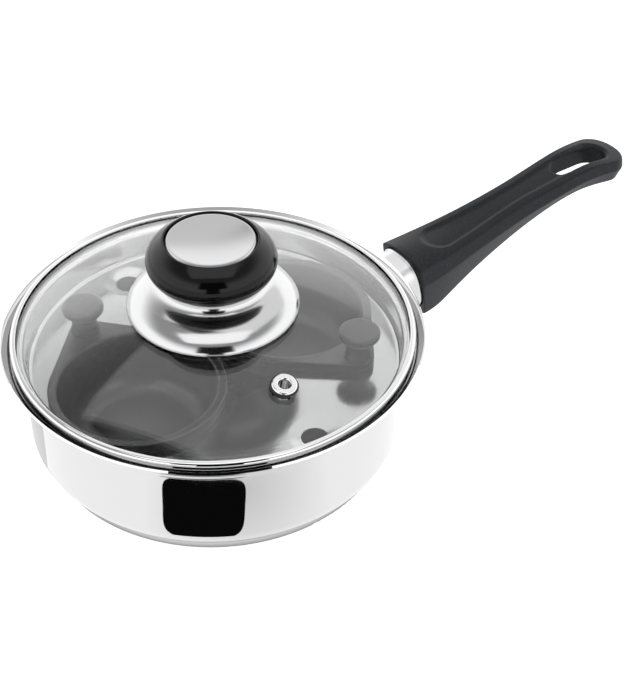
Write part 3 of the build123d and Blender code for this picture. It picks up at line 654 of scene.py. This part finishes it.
def guard_skin(grow, share):
    """One skin of the sleeve, from the wall (share 0) to its end in the grip (share 1)."""
    side, up = oval(turn, grow)
    wall_x = np.sqrt(guard_wall**2 - side**2)
    start = (wall_x - handle_start[0] + math.sin(handle_tilt) * up) / math.cos(handle_tilt)
    along = start + share * (guard_end - start)
    bead = np.clip(1 - ((along - bead_middle) / bead_reach) ** 2, 0, 1) ** 2 * bead_rise
    side, up = oval(turn, grow + bead)
    return handle_points(side, up, along)


outer, inner = guard_skin(0, along_share), guard_skin(-guard_sheet, along_share)
sleeve = np.concatenate([outer, inner[::-1], outer[:1]])
guard = mesh_object("guard_sleeve", [sleeve], columns_meet=True)
stand_in(guard, "handle_guard", guard_steel, "pan")

# %% [markdown]
# The grip is a dark moulding with two facets on each side, a thumb dish on top and a slot to hang it by. It
# could be sculpted, but a moulding has crisp, even rounds, so it is worked out in rows. One half is built,
# and mirrored. Each row runs from the middle of the top over the rounded edge, down the two facets and in
# under the grip. Rows go along the handle, then fan around the end of the slot, follow its side, and fan
# again around the tip, whose plan is a superellipse.

# %% Grip: sections along the handle
def spline(places, columns):
    """Natural cubic through each column of values: a function that gives all columns at any places."""
    places, columns = np.asarray(places, float), np.asarray(columns, float)
    gap = np.diff(places)[:, None]
    pull = np.zeros_like(columns)
    pull[1:-1] = 6 * np.diff(np.diff(columns, axis=0) / gap, axis=0)
    system = np.eye(len(places))
    inner = np.arange(1, len(places) - 1)
    system[inner, inner - 1] = gap[:-1, 0]
    system[inner, inner] = 2 * (gap[:-1, 0] + gap[1:, 0])
    system[inner, inner + 1] = gap[1:, 0]
    curve = np.linalg.solve(system, pull)

    def at(x):
        x = np.asarray(x, float)
        piece = np.clip(np.searchsorted(places, x) - 1, 0, len(gap) - 1)
        width = gap[piece]
        left, right = (places[piece + 1] - x)[..., None], (x - places[piece])[..., None]
        cubes = (curve[piece] * left**3 + curve[piece + 1] * right**3) / (6 * width)
        first = (columns[piece] / width - curve[piece] * width / 6) * left
        return cubes + first + (columns[piece + 1] / width - curve[piece + 1] * width / 6) * right

    return at


grip_length, half_width, grip_low, grip_rise, crown_rise = 128.0, 15.0, 19.0, 44.0, 4.4
# Place along the grip; half widths of top, crease and underside; their heights; crown
grip_shares = np.array(
    [
        (-0.078, 0.960, 0.970, 0.79, 0.620, 0.420, 0.000, 1.10),
        (0.078, 0.880, 0.960, 0.73, 0.660, 0.475, 0.030, 0.55),
        (0.218, 0.780, 0.870, 0.64, 0.715, 0.560, 0.195, 0.24),
        (0.360, 0.690, 0.790, 0.55, 0.785, 0.640, 0.360, 0.18),
        (0.500, 0.650, 0.745, 0.51, 0.860, 0.720, 0.505, 0.18),
        (0.640, 0.700, 0.780, 0.56, 0.925, 0.800, 0.645, 0.18),
        (0.790, 0.760, 0.830, 0.63, 0.985, 0.865, 0.715, 0.18),
        (0.937, 0.860, 0.915, 0.74, 0.956, 0.855, 0.690, 0.18),
        (1.066, 0.890, 0.940, 0.77, 0.915, 0.815, 0.660, 0.18),
    ]
)
grip_scales = np.array([half_width] * 3 + [grip_rise] * 3 + [crown_rise])
grip_offsets = np.array([0, 0, 0, grip_low, grip_low, grip_low, 0])
section_x = handle_start[0] + grip_shares[:, 0] * grip_length
section = spline(section_x, grip_shares[:, 1:] * grip_scales + grip_offsets)

slot_middle, slot_straight, slot_radius, slot_lip = 205.6, 9.8, 6.2, 1.1
pocket_straight, pocket_radius, pocket_ceiling, pocket_edge = 12.5, 8.5, 52.4, 0.6
dish_near, dish_far, dish_inset, dish_depth, dish_slope = 113.3, 223.5, 3.6, 1.2, 2.8

# %% Grip: heights of the top and the underside
def smooth(t):
    """Eased step: 0 up to 0, 1 from 1 on, and three squares less two cubes of t between them."""
    t = np.clip(t, 0, 1)
    return t * t * (3 - 2 * t)


def beyond(x, y, straight, radius):
    """Distance outside a long hole with round ends, negative inside it."""
    return np.hypot(np.maximum(np.abs(x - slot_middle) - straight, 0), y) - radius


def quarter_drop(distance, radius):
    """Drop of a quarter round at a distance from its edge: the radius times 1 less the root of 1 - rest^2."""
    rest = np.clip(1 - distance / radius, 0, 1)
    return radius * (1 - np.sqrt(1 - rest**2))


def top_height(x, y):
    """Crowned top of the grip, less the thumb dish and the rounded lip of the slot."""
    values = section(x)
    top, edge, crown = values[..., 0], values[..., 3], values[..., 6]
    crest = edge + crown * (1 - (y / top) ** 2)
    dish_half = top - dish_inset
    middle = np.clip(x, dish_near + dish_half, np.maximum(dish_far - dish_half, dish_near + dish_half))
    within = dish_half - np.hypot(y, x - middle)
    dish = dish_depth * smooth(within / dish_slope)
    return crest - dish - quarter_drop(beyond(x, y, slot_straight, slot_radius), slot_lip)


def under_height(x, y):
    """Flat underside of the grip, less the small round at the pocket's edge."""
    return section(x)[..., 5] + quarter_drop(beyond(x, y, pocket_straight, pocket_radius), pocket_edge)


# %% Grip: rows
tip_start, tip_reach, tip_power = 218.8, 11.2, 2.26
# Where the rows start to fan, to follow the slot's side and to run to the tip, on the grip's outer edge
fan_x, beside_x, last_x = 186, 196, 210
face_round = 0.5
tip_half = section(np.array(tip_start))[1]

# Shares or angles of the rows in each stretch: along, fanning, beside the slot, before the tip and around it
near = np.concatenate([np.linspace(0, 0.33, 36), np.linspace(0.34, 0.94, 40), np.linspace(0.945, 1, 14)])
fan = np.linspace(0, np.pi / 2, 16)[1:]
beside = np.linspace(0, 1, 17)[1:]
round_tip = np.linspace(0, np.pi / 2, 34)[1:]
straight_tip = np.linspace(0, 1, 13)[1:]
tip_share = np.concatenate([straight_tip * 0.3, 0.3 + 0.7 * round_tip / (np.pi / 2)]) * np.pi / 2
slot_near, slot_far = slot_middle - slot_straight, slot_middle + slot_straight
pocket_near, pocket_far = slot_middle - pocket_straight, slot_middle + pocket_straight
face = handle_start[0] + face_round

# %% Grip: outer ends of the rows
outer_x = np.concatenate(
    [
        face + near * (fan_x - face),
        fan_x + (beside_x - fan_x) * fan / (np.pi / 2),
        beside_x + (last_x - beside_x) * beside,
        last_x + (tip_start - last_x) * straight_tip,
        tip_start + tip_reach * np.sin(round_tip) ** (2 / tip_power),
    ]
)
before_tip = len(outer_x) - len(round_tip)
side_y, tip_y = section(outer_x[:before_tip])[:, 1], tip_half * np.cos(round_tip) ** (2 / tip_power)
outer_y = np.concatenate([side_y, tip_y])
outer_plan = np.stack([outer_x, outer_y], -1)

# The normal points across the handle before the tip, and along the superellipse's gradient around it.
gradient_x = ((outer_x - tip_start) / tip_reach).clip(0) ** (tip_power - 1) / tip_reach
gradient_y = (outer_y / tip_half) ** (tip_power - 1) / tip_half
gradient = np.stack([gradient_x, gradient_y], -1)
gradient[:before_tip] = (0, 1)
normal = gradient / np.linalg.norm(gradient, axis=1, keepdims=True)

# %% Grip: inner ends of the rows
def inner_edge(start, end, straight_near, straight_far, radius):
    """Plan of the rows' inner ends: along the middle, then around a long hole."""
    x = np.concatenate(
        [
            start + near * (end - start),
            straight_near - radius * np.cos(fan),
            straight_near + (straight_far - straight_near) * beside,
            straight_far + radius * np.sin(tip_share),
        ]
    )
    y = np.concatenate([0 * near, radius * np.sin(fan), radius + 0 * beside, radius * np.cos(tip_share)])
    return np.stack([x, y], -1)


slot_edge = inner_edge(face, slot_near - slot_radius, slot_near, slot_far, slot_radius)
pocket_rim = inner_edge(face, pocket_near - pocket_radius, pocket_near, pocket_far, pocket_radius)
half_top, half_crease, half_under = section(outer_x)[:, :3].T
print("grip:", len(outer_x), "rows,", before_tip, "of them before the tip")

# %% Grip: side
def corner_arc(before, corner, after, radius, steps):
    """Arc that rounds a corner: it touches both sides at the radius over the tangent of half the angle."""
    to_before, to_after = before - corner, after - corner
    to_before = to_before / np.linalg.norm(to_before, axis=-1, keepdims=True)
    to_after = to_after / np.linalg.norm(to_after, axis=-1, keepdims=True)
    cosine = np.clip((to_before * to_after).sum(-1, keepdims=True), -1 + 1e-9, 1 - 1e-9)
    half = np.arccos(cosine) / 2
    bisector = (to_before + to_after) / (2 * np.cos(half))
    centre = corner + bisector * radius / np.sin(half)
    start = corner + to_before * radius / np.tan(half) - centre
    end = corner + to_after * radius / np.tan(half) - centre
    sweep = (np.pi - 2 * half)[..., None, :]
    share = np.linspace(0, 1, steps)[:, None]
    turned = np.sin((1 - share) * sweep) * start[..., None, :] + np.sin(share * sweep) * end[..., None, :]
    return centre[..., None, :] + turned / np.sin(sweep)


def in_plan(inset):
    """Plan points a distance inside the widest outline, along its normal."""
    return outer_plan[:, None] - normal[:, None] * inset[..., None]


def wall_corner(inset, height):
    """Corner of the side's outline: inset and height for each row."""
    return np.stack([inset, height], -1)


# Rounds of the side, and the short run inward that gives the top's and the underside's slope at its corners
edge_round, crease_round, foot_round, inward_run = 1.8, 2.4, 1.8, 1.5
rim_in, under_in = half_crease - half_top, half_crease - half_under
rim_next, under_next = rim_in + inward_run, under_in + inward_run
at_rim, at_under = in_plan(rim_in[:, None])[:, 0], in_plan(under_in[:, None])[:, 0]
at_next = in_plan(rim_next[:, None])[:, 0]
flush_rim = top_height(at_rim[:, 0], at_rim[:, 1])
corners = [
    wall_corner(rim_next, top_height(at_next[:, 0], at_next[:, 1])),
    wall_corner(rim_in, flush_rim),
    wall_corner(0 * rim_in, section(outer_x)[:, 4]),
    wall_corner(under_in, section(at_under[:, 0])[:, 5]),
    wall_corner(under_next, section(at_under[:, 0])[:, 5]),
]
rim_arc = corner_arc(corners[0], corners[1], corners[2], edge_round, 9)
crease_arc = corner_arc(corners[1], corners[2], corners[3], crease_round, 7)
foot_arc = corner_arc(corners[2], corners[3], corners[4], foot_round, 9)
step = np.linspace(0, 1, 8)[1:-1, None]
upper_facet = rim_arc[:, -1:] * (1 - step) + crease_arc[:, :1] * step
lower_facet = crease_arc[:, -1:] * (1 - step) + foot_arc[:, :1] * step
side_line = np.concatenate([rim_arc, upper_facet, crease_arc, lower_facet, foot_arc], 1)
side_plan = in_plan(side_line[..., 0])
side_points = np.concatenate([side_plan, side_line[..., 1:]], -1)

# %% Grip: top and underside
# Points lie close together over the rounded lip of the slot, and even from there to the rim.
lip_steps = np.array([0.0, 0.03, 0.12, 0.27, 0.47, 0.75, slot_lip])
rim_plan = side_plan[:, 0]
inward = rim_plan - slot_edge
inward_length = np.linalg.norm(inward, axis=1)[:, None]
lip_share = lip_steps[None] / inward_length
even_share = lip_share[:, -1:] + (1 - lip_share[:, -1:]) * np.linspace(0, 1, 27)[None, 1:-1]
top_share = np.concatenate([lip_share, even_share], 1)[..., None]
top_plan = slot_edge[:, None] + inward[:, None] * top_share
top_points = np.concatenate([top_plan, top_height(top_plan[..., 0], top_plan[..., 1])[..., None]], -1)

foot_plan = side_plan[:, -1]
outward = pocket_rim - foot_plan
outward_length = np.linalg.norm(outward, axis=1)[:, None]
edge_steps = np.array([pocket_edge, 0.35, 0.18, 0.08, 0.02, 0.0])
edge_share = 1 - edge_steps[None] / outward_length
foot_share = np.concatenate([edge_share[:, :1] * np.linspace(0, 1, 10)[None, 1:-1], edge_share], 1)[..., None]
under_plan = foot_plan[:, None] + outward[:, None] * foot_share
under_z = under_height(under_plan[..., 0], under_plan[..., 1])
under_points = np.concatenate([under_plan, under_z[..., None]], -1)

# %% Grip: lean of the near end
lean_length = 25


def sheared(points):
    """Leans the near end so that its face is square to the handle's axis."""
    leaning = points.copy()
    lean = 1 - smooth((points[..., 0] - face) / lean_length)
    leaning[..., 0] -= lean * math.tan(handle_tilt) * (points[..., 2] - handle_start[2])
    return leaning


shell = sheared(np.concatenate([top_points, side_points, under_points], 1))
print("grip's shell:", shell.shape[0], "rows of", shell.shape[1], "points")

# %% Grip: slot and pocket
# The slot opens into a wider pocket from below, up to the pocket's ceiling.
hole_rows = slice(len(near) - 1, None)
rise = np.linspace(0, 1, 9)[None, :, None]
slot_top, pocket_foot = shell[hole_rows, :1], shell[hole_rows, -1:]
ceiling_in = np.concatenate([slot_top[..., :2], np.full_like(slot_top[..., :1], pocket_ceiling)], -1)
ceiling_out = np.concatenate([pocket_foot[..., :2], np.full_like(pocket_foot[..., :1], pocket_ceiling)], -1)
wall = np.concatenate(
    [
        slot_top * (1 - rise) + ceiling_in * rise,
        ceiling_in * (1 - rise[:, 1:]) + ceiling_out * rise[:, 1:],
        ceiling_out * (1 - rise[:, 1:]) + pocket_foot * rise[:, 1:],
    ],
    1,
)

# %% Grip: near face
# A small round, a flat land, and the recess that the guard ends in, down to its floor
rim = shell[0]
rim_side, rim_up = rim[:, 1], (rim - handle_start) @ handle_up
rim_turn = np.arctan2(rim_up - oval_lift, rim_side)
recess_gap, recess_depth, corner_row = 0.7, 2.5, 0.1
rim_curl = np.linspace(0, np.pi / 2, 6)[1:, None]
shrink = 1 - face_round * (1 - np.cos(rim_curl)) / np.hypot(rim_side, rim_up - oval_lift)
curled_side, curled_up = rim_side * shrink, oval_lift + (rim_up - oval_lift) * shrink
curled = handle_points(curled_side, curled_up, face_round * (1 - np.sin(rim_curl)))
hole_side, hole_up = oval(rim_turn, recess_gap)
hole_side[rim_side < 1e-6] = 0
inward_share = np.linspace(0, 1, 5)[1:, None]
land_side = curled_side[-1] * (1 - inward_share) + hole_side * inward_share
land_up = curled_up[-1] * (1 - inward_share) + hole_up * inward_share
land = handle_points(land_side, land_up, 0.0)
recess_rows = np.array([[corner_row], [recess_depth - corner_row], [recess_depth]])
recess_wall = handle_points(hole_side, hole_up, recess_rows)
close = 1 - np.array([[0.02], [0.5], [1.0]])
recess_end = handle_points(hole_side * close, oval_lift + (hole_up - oval_lift) * close, recess_depth)
near_face = np.concatenate([rim[None], curled, land, recess_wall, recess_end])

# %% Turned and cut shapes
def lathe(profile, turns=224):
    """Closed profile turned about the pan's axis: radius times the cosine and sine of the turn, and height."""
    round_axis = np.linspace(0, 2 * np.pi, turns, endpoint=False)[:, None]
    radius, height = profile[:, 0], profile[:, 1]
    return np.stack([radius * np.cos(round_axis), radius * np.sin(round_axis), height + 0 * round_axis], -1)


def cut(obj, cutter, sharp=35):
    """Takes the cutter's volume away from the object, for good, and removes the cutter."""
    boolean = obj.modifiers.new("cut", "BOOLEAN")
    boolean.object = cutter
    boolean.operation = "DIFFERENCE"
    boolean.solver = "EXACT"
    bpy.context.view_layer.update()
    result = bpy.data.meshes.new_from_object(obj.evaluated_get(bpy.context.evaluated_depsgraph_get()))
    obj.modifiers.clear()
    obj.data = result
    obj.data.set_sharp_from_angle(angle=math.radians(sharp))
    bpy.data.objects.remove(cutter)

# %% Handle grip
flip = np.array((1, -1, 1))
halves = [grid * facing for grid in (shell, wall, near_face) for facing in (1, flip)]
grip = mesh_object("grip_moulding", halves)

# The bore runs along the handle's axis and holds the bracket's boss, the bolt and the bolt's head.
boss_hole, boss_end, bolt_hole, bolt_seat, head_hole = 5.3, 12.3, 2.3, 82.47, 4.0
bore_start, bore_end = -6, 95
bore = np.array(
    [
        (0, bore_start),
        (boss_hole, bore_start),
        (boss_hole, boss_end),
        (bolt_hole, boss_end),
        (bolt_hole, bolt_seat),
        (head_hole, bolt_seat),
        (head_hole, bore_end),
        (0, bore_end),
    ]
)
bore_grid = lathe(bore, 64)
bore_points = handle_points(bore_grid[..., 0], bore_grid[..., 1], bore_grid[..., 2])
cut(grip, mesh_object("bore_cutter", [bore_points], rows_meet=True, columns_meet=True))
stand_in(grip, "handle_grip", grip_plastic, "pan")

# %% [markdown]
# The skirt under the knob is spun from thin steel: a neck, a shallow saucer, and an edge that rolls over.
# Runs and arcs would give its size, but a polished piece shows every change of slope as a line, so its
# outline is one smooth curve through a few points, worked out from what it reflects. The sheet's other side
# follows it at the sheet's thickness.

# %% Knob skirt
# Radius and height, from the rolled edge up to the neck
skirt_line = np.array(
    [
        (35.2, 66.05), (35.1, 66.6), (34.75, 67.4), (34.2, 68.2), (32.9, 69.65), (31.3, 70.9), (29.6, 71.95),
        (27.9, 72.8), (26.1, 73.5), (24.2, 74.1), (22.5, 74.8), (21.2, 75.8), (20.4, 77.0), (20.0, 78.4),
    ]
)
skirt_steps = np.concatenate([[0], np.cumsum(np.linalg.norm(np.diff(skirt_line, axis=0), axis=1))])
skirt_curve = spline(skirt_steps, skirt_line)
outside = skirt_curve(np.linspace(0, skirt_steps[-1], 120))
skirt_sheet, skirt_bore, neck_inside = 0.7, 2.4, 19.2
skirt_top = skirt_line[-1, 1]
disc_foot = skirt_top - skirt_sheet
slope = np.gradient(outside, axis=0)
across_sheet = np.stack([-slope[:, 1], slope[:, 0]], 1) / np.linalg.norm(slope, axis=1, keepdims=True)
underside = outside + skirt_sheet * across_sheet
underside = underside[underside[:, 1] < disc_foot]
disc = [(skirt_bore, skirt_top), (skirt_bore, disc_foot), (neck_inside, disc_foot)]
skirt_profile = np.concatenate([outside, disc, underside[::-1]])
skirt = mesh_object("spun_skirt", [lathe(skirt_profile)], rows_meet=True, columns_meet=True)
stand_in(skirt, "knob_skirt", satin_steel, "lid")

# %% [markdown]
# The knob's two mouldings are one bulb, turned about the pan's axis, with a fine groove where they meet.
# The groove could be a dark line in the material, but a real one also notches the outline and catches
# light, so it is a dip in the bulb's radius.

# %% Knob
knob_radius, knob_foot, knob_height, parting, screw_hole = 26.3, 78.42, 18.5, 82.32, 3.0
groove, groove_half = 0.22, 0.16
# Shares of the radius and the height, from the foot up
bulb_shares = np.array([(0.72, 0.0), (0.94, 0.24), (1.0, 0.47), (0.955, 0.72), (0.74, 1.0)])
bulb_points = bulb_shares * (knob_radius, knob_height)
bulb_steps = np.linalg.norm(np.diff(bulb_points, axis=0), axis=1)
bulb = spline(np.concatenate([[0], np.cumsum(bulb_steps)]), bulb_points)
bulb_line = bulb(np.linspace(0, bulb_steps.sum(), 160)) + (0, knob_foot)
bulb_line[:, 0] -= groove * np.exp(-(((bulb_line[:, 1] - parting) / groove_half) ** 2))

below = bulb_line[bulb_line[:, 1] <= parting]
base_line = np.concatenate([[(screw_hole, parting), (screw_hole, knob_foot)], below])
lower = mesh_object("knob_lower_moulding", [lathe(base_line)], rows_meet=True, columns_meet=True)
stand_in(lower, "knob_base", knob_plastic, "lid")

knob_top, recess_radius, recess_floor, land_round = knob_foot + knob_height, 18.7, 93.92, 0.35
insert_radius, insert_top, insert_foot = 4.6, 92.95, 83.92
curl = np.linspace(0, np.pi / 2, 7)[:, None]
land_radius = recess_radius + land_round - land_round * np.sin(curl)
land_height = knob_top - land_round + land_round * np.cos(curl)
inside = [
    (recess_radius, recess_floor),
    (0, recess_floor),
    (0, insert_top),
    (insert_radius, insert_top),
    (insert_radius, insert_foot),
    (screw_hole, insert_foot),
    (screw_hole, parting),
]
above = bulb_line[bulb_line[:, 1] > parting]
body_line = np.concatenate([above, np.concatenate([land_radius, land_height], 1), inside])
upper = mesh_object("knob_upper_moulding", [lathe(body_line)], rows_meet=True, columns_meet=True)
stand_in(upper, "knob_body", knob_plastic, "lid")

# %% [markdown]
# The lid's band is a channel of polished steel around the glass. Its top is rolled over, and the round
# draws it as thin bright and dark lines. A bevel modifier on a plain channel would come close, but each
# corner has its own radius, so the outline is worked out with an arc at each corner and turned about the
# axis.

# %% Lid band
def rounded(points, radii, steps=7, margin=0.12):
    """Closed outline with every corner rounded, and a point just outside each arc to keep flats flat."""
    points = np.asarray(points, float)
    before, after = np.roll(points, 1, 0), np.roll(points, -1, 0)
    arcs = corner_arc(before, points, after, np.asarray(radii, float)[:, None], steps)
    back, on = before - points, after - points
    lead = arcs[:, :1] + margin * (back / np.linalg.norm(back, axis=1, keepdims=True))[:, None]
    trail = arcs[:, -1:] + margin * (on / np.linalg.norm(on, axis=1, keepdims=True))[:, None]
    return np.concatenate([lead, arcs, trail], 1).reshape(-1, 2)


band_radius, band_inner, band_foot, band_top, band_sheet = 83.2, 80.7, 49.6, 55.05, 0.6
flange_radius = 79.2
band_profile = rounded(
    [
        (flange_radius, band_foot),
        (band_radius, band_foot),
        (band_radius, band_top),
        (band_inner, band_top),
        (band_inner, band_top - band_sheet),
        (band_radius - band_sheet, band_top - band_sheet),
        (band_radius - band_sheet, band_foot + band_sheet),
        (flange_radius, band_foot + band_sheet),
    ],
    radii=[0.2, 0.9, 1.55, 0.42, 0.12, 0.9, 0.3, 0.2],
    steps=13,
    margin=0.05,
)
band = mesh_object("rolled_lid_band", [lathe(band_profile, 320)], rows_meet=True, columns_meet=True)
stand_in(band, "lid_band", mirror_steel, "lid")
